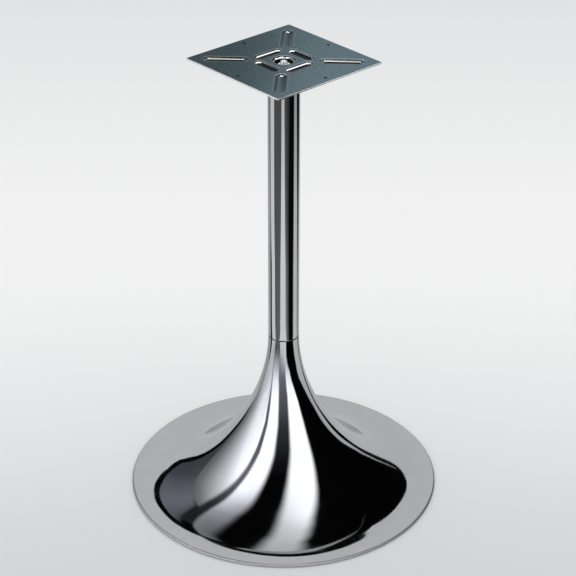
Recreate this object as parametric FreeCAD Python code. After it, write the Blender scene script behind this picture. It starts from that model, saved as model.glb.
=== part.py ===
import FreeCAD, Part
import math
import os

from FreeCAD import Vector

# Tulip table base: a spun trumpet foot, a tube and a pressed top plate, clamped together by a tie rod.
# Millimetres, +Z up, origin on the floor at the middle of the base. Plate sides lie along X and Y.

# Overall
overall_height = 725.0

# Column
column_diameter = 48.0
column_wall = 1.5

# Trumpet cover
base_diameter = 490.0
cover_wall = 1.5
joint_height = 268.0
neck_reach = 130.0
flare_reach = 100.0
rim_flat_width = 15.0
rim_height = 5.0
rim_bend_radius = 1.0
rim_floor_gap = 1.5

# Spigot inside the joint
spigot_wall = 3.0
spigot_in_column = 34.0
spigot_in_neck = 16.0
spigot_neck_clearance = 0.1
spigot_chamfer = 1.0

# Top plate
plate_side = 200.0
plate_thickness = 2.5
plate_corner_radius = 2.5
screw_hole_diameter = 5.0
screw_edge_distance = 12.5
press_bend_radius = 1.0

# Beads pressed down into the plate
bead_width = 16.0
bead_depth = 4.0
bead_wall_angle = 70.0
nest_bead_length = 50.0
nest_clearance = 0.6
bead_spacing = 11.0
corner_bead_margin = 24.5

# Centre cup of the plate
cup_depth = 16.0
cup_wall_angle = 86.0
cup_washer_play = 1.7

# Tie rod and its fasteners
rod_diameter = 10.0
rod_chamfer = 1.0
rod_below_plate_top = 0.8
rod_tail = 3.0
rod_hole_clearance = 0.5
nut_across_flats = 17.0
nut_height = 8.0
nut_chamfer_angle = 30.0
washer_diameter = 20.0
washer_thickness = 2.0
washer_bore_clearance = 0.25

# Ballast casting
ballast_inset = 55.0
ballast_thickness = 14.0
ballast_seat_clearance = 0.2
ballast_edge_radius = 2.0
hub_diameter = 44.0
hub_height = 34.0
hub_root_radius = 6.0
recess_washer_clearance = 4.0
recess_floor_cover = 3.0

# Floor glides
glide_count = 4
glide_diameter = 30.0
glide_height = 2.5
glide_edge_radius = 1.0
glide_inset = 25.0
stem_diameter = 6.0
stem_length = 8.0
stem_clearance = 0.1

# Derived places
column_radius = column_diameter / 2
column_bore_radius = column_radius - column_wall
neck_bore_radius = column_radius - cover_wall
plate_underside = overall_height - plate_thickness
rod_radius = rod_diameter / 2
rod_hole_radius = rod_radius + rod_hole_clearance
washer_radius = washer_diameter / 2
cup_floor_height = overall_height - cup_depth
ballast_bottom = glide_height
ballast_top = ballast_bottom + ballast_thickness
ballast_radius = base_diameter / 2 - ballast_inset
hub_top = ballast_bottom + hub_height
recess_radius = washer_radius + recess_washer_clearance
recess_depth = washer_thickness + nut_height + rod_tail + recess_floor_cover
recess_roof = ballast_bottom + recess_depth
rod_top = overall_height - rod_below_plate_top
rod_bottom = recess_roof - washer_thickness - nut_height - rod_tail
glide_radius = ballast_radius - glide_inset
z_axis = Vector(0, 0, 1)
full_turn = 360.0
half_turn = 180.0
quarter_turn = 90.0
eighth_turn = 45.0
plate_sides = 4
nut_sides = 6
contact_tolerance = 1e-6


def point(radius, height):
    return Vector(radius, 0, height)


def arc(center, radius, start_angle, end_angle):
    # Arc in the XZ plane, between two directions given in degrees from +X towards +Z.
    ends = []
    for angle in (start_angle, (start_angle + end_angle) / 2, end_angle):
        turn = math.radians(angle)
        ends.append(center + point(radius * math.cos(turn), radius * math.sin(turn)))
    return Part.Arc(*ends).toShape()


def section(*steps):
    # Closed face through a row of corners and curves, with a straight line wherever two stand apart.
    spans = []
    for step in steps:
        ends = [step, step] if isinstance(step, Vector) else [vertex.Point for vertex in step.Vertexes]
        if spans and spans[-1][1].distanceToPoint(ends[1]) < spans[-1][1].distanceToPoint(ends[0]):
            ends.reverse()
        spans.append(ends)
    edges = []
    for step, span, following in zip(steps, spans, spans[1:] + spans[:1]):
        if not isinstance(step, Vector):
            edges.append(step)
        if span[1].distanceToPoint(following[0]) > contact_tolerance:
            edges.append(Part.LineSegment(span[1], following[0]).toShape())
    return Part.Face(Part.Wire(edges))


def turned(profile):
    # Revolves a half section in the XZ plane about the vertical axis.
    return profile.revolve(Vector(0, 0, 0), z_axis, full_turn)


def ring(inner_radius, outer_radius, bottom, height):
    outer = Part.makeCylinder(outer_radius, height, point(0, bottom))
    return outer.cut(Part.makeCylinder(inner_radius, height, point(0, bottom)))


def trumpet_curve():
    # The trumpet's outer line leaves the neck upright and runs out level into the flat rim.
    flat_start = base_diameter / 2 - rim_flat_width
    curve = Part.BezierCurve()
    curve.setPoles([
        point(column_radius, joint_height),
        point(column_radius, joint_height - neck_reach),
        point(flat_start - flare_reach, rim_height),
        point(flat_start, rim_height),
    ])
    return curve


def parallel_curve(depth):
    # The same line moved square to itself by depth, towards the inside of the trumpet.
    return Part.OffsetCurve(trumpet_curve(), -depth, Vector(0, 1, 0)).toBSpline()


def build_trumpet_cover():
    # Spun sheet of one thickness: the trumpet line, the flat rim and the lip turned down at its edge.
    lip_outer = base_diameter / 2
    outer_bend = rim_bend_radius + cover_wall
    bend_center = point(lip_outer - outer_bend, rim_height - outer_bend)
    return turned(section(
        trumpet_curve().toShape(),
        arc(bend_center, outer_bend, quarter_turn, 0),
        point(lip_outer, rim_floor_gap),
        point(lip_outer - cover_wall, rim_floor_gap),
        arc(bend_center, rim_bend_radius, 0, quarter_turn),
        parallel_curve(cover_wall).toShape(),
    ))


def build_column_tube():
    return ring(column_bore_radius, column_radius, joint_height, plate_underside - joint_height)


def build_neck_spigot():
    # Pressed into the column, slipped into the trumpet's neck, chamfered at both ends.
    neck_fit_radius = neck_bore_radius - spigot_neck_clearance
    bore_radius = min(column_bore_radius, neck_fit_radius) - spigot_wall
    top = joint_height + spigot_in_column
    bottom = joint_height - spigot_in_neck
    return turned(section(
        point(bore_radius, bottom),
        point(neck_fit_radius - spigot_chamfer, bottom),
        point(neck_fit_radius, bottom + spigot_chamfer),
        point(neck_fit_radius, joint_height),
        point(column_bore_radius, joint_height),
        point(column_bore_radius, top - spigot_chamfer),
        point(column_bore_radius - spigot_chamfer, top),
        point(bore_radius, top),
    ))


def pressed_reach(depth, wall_angle):
    # Width that the two bends and the sloping wall of a pressing take up between its floor and its lip.
    angle = math.radians(wall_angle)
    bends = plate_thickness + 2 * press_bend_radius
    wall_length = (depth - bends * (1 - math.cos(angle))) / math.sin(angle)
    return bends * math.sin(angle) + wall_length * math.cos(angle)


def pressed_section(floor_start, floor_end, depth, wall_angle):
    # Half section of a pressing: sheet of one thickness from the floor through two bends up to the plate.
    lip = floor_end + pressed_reach(depth, wall_angle)
    lip_center = point(lip, plate_underside - press_bend_radius)
    floor_center = point(floor_end, overall_height - depth + press_bend_radius)
    tight = press_bend_radius
    wide = press_bend_radius + plate_thickness
    lip_turn = quarter_turn + wall_angle
    floor_turn = wall_angle - quarter_turn
    return section(
        point(floor_start, overall_height - depth),
        arc(floor_center, tight, -quarter_turn, floor_turn),
        arc(lip_center, wide, lip_turn, quarter_turn),
        arc(lip_center, tight, quarter_turn, lip_turn),
        arc(floor_center, wide, floor_turn, -quarter_turn),
        point(floor_start, overall_height - depth - plate_thickness),
    )


def placed(shape, x, y, turn):
    shape.rotate(Vector(0, 0, 0), z_axis, turn)
    shape.translate(Vector(x, y, 0))
    return shape


def bead_and_gap(length):
    # A bead along Y about the origin, and the round-ended opening in the flat sheet that it fills.
    lip = bead_width / 2
    run = length - bead_width
    floor_half = lip - pressed_reach(bead_depth, bead_wall_angle)
    profile = pressed_section(0, floor_half, bead_depth, bead_wall_angle)
    half_run = profile.extrude(Vector(0, run, 0))
    half_run.translate(Vector(0, -run / 2, 0))
    other_half = half_run.copy()
    other_half.rotate(Vector(0, 0, 0), z_axis, half_turn)
    end = profile.revolve(Vector(0, 0, 0), z_axis, half_turn)
    end.translate(Vector(0, run / 2, 0))
    other_end = end.copy()
    other_end.rotate(Vector(0, 0, 0), z_axis, half_turn)
    bead = half_run.fuse([other_half, end, other_end])
    corner = Vector(-lip, -run / 2, plate_underside)
    gap = Part.makeBox(bead_width, run, plate_thickness, corner)
    for side in (-1, 1):
        gap = gap.fuse(Part.makeCylinder(lip, plate_thickness, Vector(0, side * run / 2, plate_underside)))
    return bead, gap


def bead_places():
    # Length, distance from the middle and turn of each bead. The short beads stand round the column's top
    # and keep it in place. The long ones run out along the diagonals, clear of the short ones.
    lip = bead_width / 2
    nest_distance = column_radius + nest_clearance + lip
    nest_end = nest_bead_length / 2 - lip
    end_spacing = bead_width + bead_spacing
    along = math.sqrt(2 * end_spacing ** 2 - (nest_end - nest_distance) ** 2)
    corner_start = (nest_end + nest_distance + along) / math.sqrt(2) - lip
    corner_end = plate_side / math.sqrt(2) - corner_bead_margin
    corner_length = corner_end - corner_start
    corner_distance = (corner_start + corner_end) / 2
    places = []
    for side in range(plate_sides):
        turn = quarter_turn * side
        places.append((nest_bead_length, nest_distance, turn, turn))
        places.append((corner_length, corner_distance, turn + eighth_turn, turn - eighth_turn))
    return places


def build_top_plate():
    # Flat blank with its openings cut, then the beads and the cup set into them as one sheet.
    corner = Vector(-plate_side / 2, -plate_side / 2, plate_underside)
    plate = Part.makeBox(plate_side, plate_side, plate_thickness, corner)
    upright = [edge for edge in plate.Edges if edge.BoundBox.ZLength > edge.BoundBox.DiagonalLength / 2]
    plate = plate.makeFillet(plate_corner_radius, upright)
    cutters = []
    pressings = []
    for length, distance, direction, turn in bead_places():
        angle = math.radians(direction)
        x = distance * math.cos(angle)
        y = distance * math.sin(angle)
        bead, gap = bead_and_gap(length)
        pressings.append(placed(bead, x, y, turn))
        cutters.append(placed(gap, x, y, turn))
    cup_floor_end = washer_radius + cup_washer_play
    cup_lip = cup_floor_end + pressed_reach(cup_depth, cup_wall_angle)
    pressings.append(turned(pressed_section(rod_hole_radius, cup_floor_end, cup_depth, cup_wall_angle)))
    cutters.append(Part.makeCylinder(cup_lip, plate_thickness, point(0, plate_underside)))
    screw_foot = point(plate_side / 2 - screw_edge_distance, plate_underside)
    for side in range(plate_sides):
        hole = Part.makeCylinder(screw_hole_diameter / 2, plate_thickness, screw_foot)
        cutters.append(placed(hole, 0, 0, quarter_turn * side))
    return plate.cut(cutters).fuse(pressings).removeSplitter()


def build_tie_rod():
    rod = Part.makeCylinder(rod_radius, rod_top - rod_bottom, point(0, rod_bottom))
    ends = [edge for edge in rod.Edges if isinstance(edge.Curve, Part.Circle)]
    return rod.makeChamfer(rod_chamfer, ends)


def build_nut(bottom):
    # Hexagon with both ends turned to a cone that leaves a round face as wide as the flats.
    flat_radius = nut_across_flats / 2
    corner_radius = flat_radius / math.cos(math.radians(half_turn / nut_sides))
    drop = (corner_radius - flat_radius) * math.tan(math.radians(nut_chamfer_angle))
    corners = []
    for side in range(nut_sides):
        angle = math.radians(full_turn * side / nut_sides)
        corners.append(Vector(corner_radius * math.cos(angle), corner_radius * math.sin(angle), bottom))
    hexagon = section(*corners).extrude(Vector(0, 0, nut_height))
    top = bottom + nut_height
    blank = turned(section(
        point(rod_radius, bottom),
        point(flat_radius, bottom),
        point(corner_radius, bottom + drop),
        point(corner_radius, top - drop),
        point(flat_radius, top),
        point(rod_radius, top),
    ))
    return hexagon.common(blank)


def build_washer(bottom):
    return ring(rod_radius + washer_bore_clearance, washer_radius, bottom, washer_thickness)


def build_ballast_casting():
    # Disc whose shoulder follows the inside of the trumpet, with a hub for the rod, a recess under it
    # for the lower nut, and a hole for each glide's stem.
    seat = parallel_curve(cover_wall + ballast_seat_clearance).toShape()
    room = turned(section(
        point(0, joint_height),
        seat,
        point(base_diameter / 2 - rim_flat_width, ballast_bottom),
        point(0, ballast_bottom),
    ))
    hub_radius = hub_diameter / 2
    root_center = point(hub_radius + hub_root_radius, ballast_top + hub_root_radius)
    edge_center = point(ballast_radius - ballast_edge_radius, ballast_bottom + ballast_edge_radius)
    casting = turned(section(
        point(rod_hole_radius, recess_roof),
        point(rod_hole_radius, hub_top),
        point(hub_radius, hub_top),
        arc(root_center, hub_root_radius, half_turn, half_turn + quarter_turn),
        point(ballast_radius, ballast_top),
        arc(edge_center, ballast_edge_radius, 0, -quarter_turn),
        point(recess_radius, ballast_bottom),
        point(recess_radius, recess_roof),
    ))
    casting = casting.common(room)
    hole_radius = stem_diameter / 2 + stem_clearance
    hole_depth = stem_length + stem_clearance
    for x, y in glide_places():
        casting = casting.cut(Part.makeCylinder(hole_radius, hole_depth, Vector(x, y, ballast_bottom)))
    return casting


def glide_places():
    places = []
    for index in range(glide_count):
        angle = math.radians(eighth_turn + full_turn * index / glide_count)
        places.append((glide_radius * math.cos(angle), glide_radius * math.sin(angle)))
    return places


def build_floor_glide(x, y):
    # Pad with a rounded lower edge and a stem that is pushed up into the casting.
    pad_radius = glide_diameter / 2
    stem_radius = stem_diameter / 2
    stem_top = glide_height + stem_length
    edge_center = point(pad_radius - glide_edge_radius, glide_edge_radius)
    glide = turned(section(
        point(0, 0),
        arc(edge_center, glide_edge_radius, -quarter_turn, 0),
        point(pad_radius, glide_height),
        point(stem_radius, glide_height),
        point(stem_radius, stem_top),
        point(0, stem_top),
    ))
    return placed(glide, x, y, 0)


def build_all():
    bottom_washer_base = recess_roof - washer_thickness
    pieces = {
        "top_plate": build_top_plate(),
        "column_tube": build_column_tube(),
        "trumpet_cover": build_trumpet_cover(),
        "neck_spigot": build_neck_spigot(),
        "ballast_casting": build_ballast_casting(),
        "tie_rod": build_tie_rod(),
        "top_washer": build_washer(cup_floor_height),
        "top_nut": build_nut(cup_floor_height + washer_thickness),
        "lock_washer": build_washer(hub_top),
        "lock_nut": build_nut(hub_top + washer_thickness),
        "bottom_washer": build_washer(bottom_washer_base),
        "bottom_nut": build_nut(bottom_washer_base - nut_height),
    }
    for number, (x, y) in enumerate(glide_places(), start=1):
        pieces[f"floor_glide_{number}"] = build_floor_glide(x, y)
    return pieces


os.makedirs("parts", exist_ok=True)
for name, shape in build_all().items():
    shape.exportStep(f"parts/{name}.step")
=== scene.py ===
from math import pi, radians, tan

import bmesh
import bpy
import numpy as np
from mathutils import Matrix, Vector
from mathutils.geometry import delaunay_2d_cdt


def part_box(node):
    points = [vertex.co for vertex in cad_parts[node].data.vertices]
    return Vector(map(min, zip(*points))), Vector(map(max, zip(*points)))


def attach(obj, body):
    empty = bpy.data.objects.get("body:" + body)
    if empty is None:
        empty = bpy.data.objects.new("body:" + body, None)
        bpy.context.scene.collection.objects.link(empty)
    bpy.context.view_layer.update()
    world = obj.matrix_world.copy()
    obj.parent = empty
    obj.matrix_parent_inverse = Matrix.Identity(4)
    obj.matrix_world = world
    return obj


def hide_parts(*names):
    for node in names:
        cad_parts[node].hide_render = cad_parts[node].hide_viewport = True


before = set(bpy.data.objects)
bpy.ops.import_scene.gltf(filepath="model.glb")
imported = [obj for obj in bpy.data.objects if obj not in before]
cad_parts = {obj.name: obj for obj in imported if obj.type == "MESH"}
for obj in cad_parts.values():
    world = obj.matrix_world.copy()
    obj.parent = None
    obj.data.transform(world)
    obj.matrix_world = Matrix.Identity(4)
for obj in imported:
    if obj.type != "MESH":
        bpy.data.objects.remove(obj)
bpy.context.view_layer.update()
mm = 0.001
weldDistance = 0.002 * mm
scene = bpy.context.scene
scene.view_settings.view_transform = "Standard"
print("frame loaded with", len(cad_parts), "nodes")


# Shapes: profiles, grids and meshes

def arcPoints(centre, radius, fromAngle, toAngle, count):
    # Points of an arc: centre plus radius times cosine and sine, angles in degrees from the first axis.
    angle = np.radians(np.linspace(fromAngle, toAngle, count))
    return np.column_stack([centre[0] + radius * np.cos(angle), centre[1] + radius * np.sin(angle)])


def fullTurn(steps):
    return np.linspace(0, 2 * pi, steps, endpoint=False)


def spun(radius, height, angle):
    # Points round the axis: radius times cosine and sine of the angle, height kept.
    return np.stack([radius * np.cos(angle), radius * np.sin(angle), height + 0 * angle], -1)


def gridFaces(rows, columns, closeRows=False, closeColumns=False):
    # Quads between neighbouring rows and columns; a closed direction joins its last line to its first.
    row, column = np.meshgrid(np.arange(rows if closeRows else rows - 1),
                              np.arange(columns if closeColumns else columns - 1), indexing="ij")
    nextRow, nextColumn = (row + 1) % rows, (column + 1) % columns
    corners = [row * columns + column, nextRow * columns + column,
               nextRow * columns + nextColumn, row * columns + nextColumn]
    return np.stack(corners, -1).reshape(-1, 4)


def turned(profile, steps):
    # A closed section of radius and height carried once round the axis.
    points = spun(profile[:, :1], profile[:, 1:], fullTurn(steps))
    return points.reshape(-1, 3), gridFaces(len(profile), steps, True, True)


def joined(*parts):
    # Several point and face arrays as one, each part's face numbers moved past the points before it.
    offsets = np.cumsum([0] + [len(points) for points, faces in parts[:-1]])
    faces = [(faces + offset).tolist() for (points, faces), offset in zip(parts, offsets)]
    return np.concatenate([points for points, faces in parts]), sum(faces, [])


def extent(node):
    # Reach along X, bottom and top of a CAD node, in millimetres.
    low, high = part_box(node)
    return high.x / mm, low.z / mm, high.z / mm


def sideways(axis):
    return np.array([-axis[1], axis[0]])


def placeObject(name, data):
    item = bpy.data.objects.new(name, data)
    scene.collection.objects.link(item)
    return item


def markPoints(mesh, name, values):
    # A number on every point, for the material to read.
    layer = mesh.attributes.new(name, "FLOAT", "POINT")
    layer.data.foreach_set("value", np.asarray(values, np.float32).ravel())


def makePiece(name, shape, material, node, sharpAngle=38):
    # Millimetre points become a mesh in metres, welded and smooth up to the sharp angle, in the CAD frame.
    points, faces = shape
    mesh = bpy.data.meshes.new(name)
    mesh.from_pydata((points * mm).tolist(), [], [list(face) for face in faces])
    work = bmesh.new()
    work.from_mesh(mesh)
    bmesh.ops.remove_doubles(work, verts=work.verts, dist=weldDistance)
    work.to_mesh(mesh)
    work.free()
    mesh.polygons.foreach_set("use_smooth", np.ones(len(mesh.polygons), bool))
    mesh.set_sharp_from_angle(angle=radians(sharpAngle))
    mesh.materials.append(material)
    piece = placeObject(name, mesh)
    piece.visible_glossy = False  # the chrome mirrors the studio alone
    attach(piece, "root")
    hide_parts(node)
    return piece


# Materials: small helpers for their nodes, each at work in the tree of the socket it is given

def addNode(near, kind, inputs=None, **settings):
    tree = near.id_data
    node = tree.nodes.new("ShaderNode" + kind)
    for key, value in settings.items():
        setattr(node, key, value)
    for key, value in (inputs or {}).items():
        if isinstance(value, bpy.types.NodeSocket):
            tree.links.new(value, node.inputs[key])
        else:
            node.inputs[key].default_value = value
    return node


def freshTree(holder):
    holder.use_nodes = True
    holder.node_tree.nodes.clear()
    return holder.node_tree


def startMaterial(name):
    # A plain shader, and the Object coordinates for its patterns.
    material = bpy.data.materials.new(name)
    tree = freshTree(material)
    shader = addNode(tree, "BsdfPrincipled")
    addNode(tree, "OutputMaterial", {"Surface": shader.outputs[0]})
    return material, shader, addNode(tree, "TexCoord").outputs["Object"]


def feed(shader, key, socket):
    shader.id_data.links.new(socket, shader.inputs[key])


def dress(shader, colour, gloss, normal, metallic=1.0):
    feed(shader, "Base Color", colour)
    feed(shader, "Roughness", gloss)
    feed(shader, "Normal", normal)
    shader.inputs["Metallic"].default_value = metallic


def axesOf(place):
    return addNode(place, "SeparateXYZ", {0: place}).outputs


def mark(near, name):
    return addNode(near, "Attribute", attribute_name=name).outputs["Fac"]


def noise(place, scale, detail, roughness, stretch=None):
    # The stretch squeezes the pattern along each axis by its own factor.
    if stretch is not None:
        place = addNode(place, "Mapping", {"Vector": place, "Scale": stretch}).outputs[0]
    inputs = {"Vector": place, "Scale": scale, "Detail": detail, "Roughness": roughness}
    return addNode(place, "TexNoise", inputs).outputs[0]


def mathNode(operation, first, second):
    near = second if isinstance(first, float) else first
    return addNode(near, "Math", {0: first, 1: second}, operation=operation).outputs[0]


def times(first, second):
    return mathNode("MULTIPLY", first, second)


def larger(first, second):
    return mathNode("MAXIMUM", first, second)


def opposite(value):
    return mathNode("SUBTRACT", 1.0, value)


def remap(value, span, to=(0, 1), blend="LINEAR"):
    inputs = {"Value": value, "From Min": span[0], "From Max": span[1], "To Min": to[0], "To Max": to[1]}
    return addNode(value, "MapRange", inputs, interpolation_type=blend).outputs[0]


def mixNumber(factor, first, second):
    return addNode(factor, "Mix", {0: factor, 2: first, 3: second}).outputs[0]


def mixColour(factor, first, second, blend="MIX"):
    # A colour is a socket or three numbers.
    first, second = [side if isinstance(side, bpy.types.NodeSocket) else (*side, 1)
                     for side in (first, second)]
    inputs = {0: factor, 6: first, 7: second}
    return addNode(factor, "Mix", inputs, data_type="RGBA", blend_type=blend).outputs[2]


def mixShader(factor, first, second):
    return addNode(factor, "MixShader", {0: factor, 1: first, 2: second}).outputs[0]


def bump(height, depth, before=None):
    inputs = {"Height": height, "Strength": 1.0, "Distance": depth}
    if before is not None:
        inputs["Normal"] = before
    return addNode(height, "Bump", inputs).outputs[0]


def tone(value, tint=(1, 1, 1)):
    return tuple(value * part for part in tint)


# Chrome on the trumpet and the column

chrome = dict(bright=0.62, dull=0.58, tint=(0.975, 0.99, 1.01), gloss=(0.03, 0.075), insideGloss=0.34,
              grime=0.28, lip=0.56, lipGloss=0.6, smudgeScale=26, waveScale=11, waveDepth=0.00025,
              polishScale=620, polishDepth=0.000008, polishGloss=0.02, polishDrift=0.02)


def polishedChrome():
    # Rings of polishing marks follow distance from the axis and height, and drift a little with x, so they
    # fade round the turn. A slow wave bends the reflections as thin spun sheet does.
    material, shader, place = startMaterial("polishedChrome")
    flat = addNode(place, "VectorMath", {0: place, 1: (1, 1, 0)}, operation="MULTIPLY").outputs[0]
    radius = addNode(place, "VectorMath", {0: flat}, operation="LENGTH").outputs["Value"]
    axes = axesOf(place)
    drift = times(axes[0], chrome["polishDrift"])
    rings = addNode(place, "CombineXYZ", {0: radius, 1: drift, 2: axes[2]}).outputs[0]
    marks = noise(rings, chrome["polishScale"], 4, 0.6)
    wave = noise(place, chrome["waveScale"], 1, 0.4)
    smudge = noise(place, chrome["smudgeScale"], 5, 0.62)
    inside, grime, lip = [mark(place, name) for name in ("inside", "grime", "lip")]
    gloss = remap(smudge, (0.35, 0.75), chrome["gloss"])
    gloss = mathNode("ADD", gloss, remap(marks, (0.4, 0.8), (0, chrome["polishGloss"])))
    gloss = mixNumber(inside, gloss, chrome["insideGloss"])
    gloss = mixNumber(lip, gloss, chrome["lipGloss"])
    bright, dull, scuffed = [tone(chrome[key], chrome["tint"]) for key in ("bright", "dull", "lip")]
    colour = mixColour(remap(smudge, (0.3, 0.8)), bright, dull)
    colour = mixColour(lip, colour, scuffed)
    colour = mixColour(grime, colour, tone(chrome["grime"]))
    normal = bump(marks, chrome["polishDepth"], bump(wave, chrome["waveDepth"]))
    dress(shader, colour, gloss, normal)
    return material


chromeFinish = polishedChrome()


# Trumpet cover

# The rim's flat has two rows of points, measured from the flare's end and from the bend.
trumpet = dict(neckPull=130, flarePull=100, rimHeight=5, rimFlat=12.5, rimBend=2.5, rimRows=(2, 0.3),
               wall=1.5, neckEdge=0.4, edgeSteps=5, bendSteps=12, insideBendSteps=6, lipGap=1.5, lipEdge=0.3,
               lipSteps=4, flareSteps=170, insideSteps=60, turns=320)


def bezier(controls, t):
    # Cubic curve: each control weighted by its share of t, and the slope from the control differences.
    a, b, c, d = np.array(controls, float)
    t, s = t[:, None], 1 - t[:, None]
    points = s**3 * a + 3 * s**2 * t * b + 3 * s * t**2 * c + t**3 * d
    slope = 3 * s**2 * (b - a) + 6 * s * t * (c - b) + 3 * t**2 * (d - c)
    return points, slope


def buildTrumpet():
    s = trumpet
    edge, _, top = extent("trumpet_cover")
    neck = extent("column_tube")[0]
    rim, lipEdge, neckEdge = s["rimHeight"], s["lipEdge"], s["neckEdge"]
    flatStart = edge - s["rimBend"] - s["rimFlat"]
    controls = [(neck, top), (neck, top - s["neckPull"]),
                (flatStart - s["flarePull"], rim), (flatStart, rim)]
    start = neckEdge / (3 * s["neckPull"])  # the curve takes over where the rounded neck edge ends
    outer, _ = bezier(controls, np.linspace(start, 1, s["flareSteps"]))
    inner, slope = bezier(controls, np.linspace(1, 0, s["insideSteps"]))
    # The inside runs a wall's thickness from the outside, square to the slope.
    square = np.column_stack([-slope[:, 1], slope[:, 0]])
    inner = inner - s["wall"] * square / np.linalg.norm(square, axis=1, keepdims=True)
    bendAt = (edge - s["rimBend"], rim - s["rimBend"])
    lipHeight = s["lipGap"] + lipEdge
    outside = np.concatenate([
        arcPoints((neck - neckEdge, top - neckEdge), neckEdge, 90, 0, s["edgeSteps"] + 1)[:-1],
        outer,
        [(flatStart + s["rimRows"][0], rim), (bendAt[0] - s["rimRows"][1], rim)],
        arcPoints(bendAt, s["rimBend"], 90, 0, s["bendSteps"]),
        arcPoints((edge - lipEdge, lipHeight), lipEdge, 0, -90, s["lipSteps"])])
    inside = np.concatenate([
        arcPoints((edge - s["wall"] + lipEdge, lipHeight), lipEdge, -90, -180, s["lipSteps"]),
        arcPoints(bendAt, s["rimBend"] - s["wall"], 0, 90, s["insideBendSteps"]),
        inner])
    profile = np.concatenate([outside, inside])
    shape = turned(profile, s["turns"])
    piece = makePiece("trumpet", shape, chromeFinish, "trumpet_cover")
    row = np.repeat(np.arange(len(profile)), s["turns"])
    markPoints(piece.data, "inside", row >= len(outside))
    markPoints(piece.data, "grime", row < s["edgeSteps"])  # polish dries in the joint
    markPoints(piece.data, "lip", np.abs(row - len(outside) + 2) < s["bendSteps"])  # scuffed by shoes


buildTrumpet()
print("trumpet built")


# Column tube

column = dict(wall=1.5, edge=0.4, edgeSteps=5, endRow=0.3, turns=192, rows=24)


def buildColumn():
    s = column
    radius, bottom, top = extent("column_tube")
    edge, bore = s["edge"], radius - s["wall"]
    heights = np.linspace(top - edge - s["endRow"], bottom + edge + s["endRow"], s["rows"])
    outside = np.concatenate([
        arcPoints((radius - edge, top - edge), edge, 90, 0, s["edgeSteps"]),
        np.column_stack([np.full(s["rows"], radius), heights]),
        arcPoints((radius - edge, bottom + edge), edge, 0, -90, s["edgeSteps"] + 1)])
    profile = np.concatenate([outside, [(bore, bottom), (bore, top)]])
    shape = turned(profile, s["turns"])
    piece = makePiece("column", shape, chromeFinish, "column_tube")
    row = np.repeat(np.arange(len(profile)), s["turns"])
    inside = row >= len(outside)
    markPoints(piece.data, "inside", inside)
    markPoints(piece.data, "grime", (row >= len(outside) - s["edgeSteps"]) & ~inside)


buildColumn()
print("column built")


# Zinc on the plate, and brighter zinc on the rod and its fasteners

# Dark and light are a painted shade across the plate, graded along right, the camera's right direction.
# Spans of depth are metres below the plate's face, over which a zone of the pressings starts or ends.
# Wall is the pale colour of the speckles, of the painted halo and of the painted highlight on the pressed
# walls.
zinc = dict(dark=(0.060, 0.088, 0.093), light=(0.181, 0.251, 0.279),
            right=(0.668, 0.744, 0), fade=(-0.10, 0.08), wall=(0.82, 0.81, 0.78),
            cutEdge=(0.86, 0.88, 0.89), edgeOn=(0.58, 0.63, 0.66), cloud=0.85,
            haloShare=0.11, lipShadeShare=(0.85, 0.3), lipShadeTone=0.015, hollowShadeTone=0.012, paintedSideShade=0.38, paintedWallShade=0.3,
            dullHighlightShare=0.08, floorHighlightCut=0.9, speckleShare=0.12, gloss=(0.20, 0.30), grainGloss=(-0.03, 0.04),
            wallGloss=0.16, cloudScale=34, speckleScale=900, grainScale=190, grainStretch=(1, 14, 1),
            grainDepth=0.00001, sheetWaveScale=16, sheetWaveDepth=0.0005,
            haloStart=(0, 0.00016), haloEnd=(0.00022, 0.00032), lipShadeStart=(0.00026, 0.00038),
            wallStart=(0.0009, 0.0014), wallShadeStart=(0.0004, 0.0012), shearEnd=(0.0015, 0.0018),
            floorStart=(0.0028, 0.0034), hollowShadeStart=(0.0042, 0.006))


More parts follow.
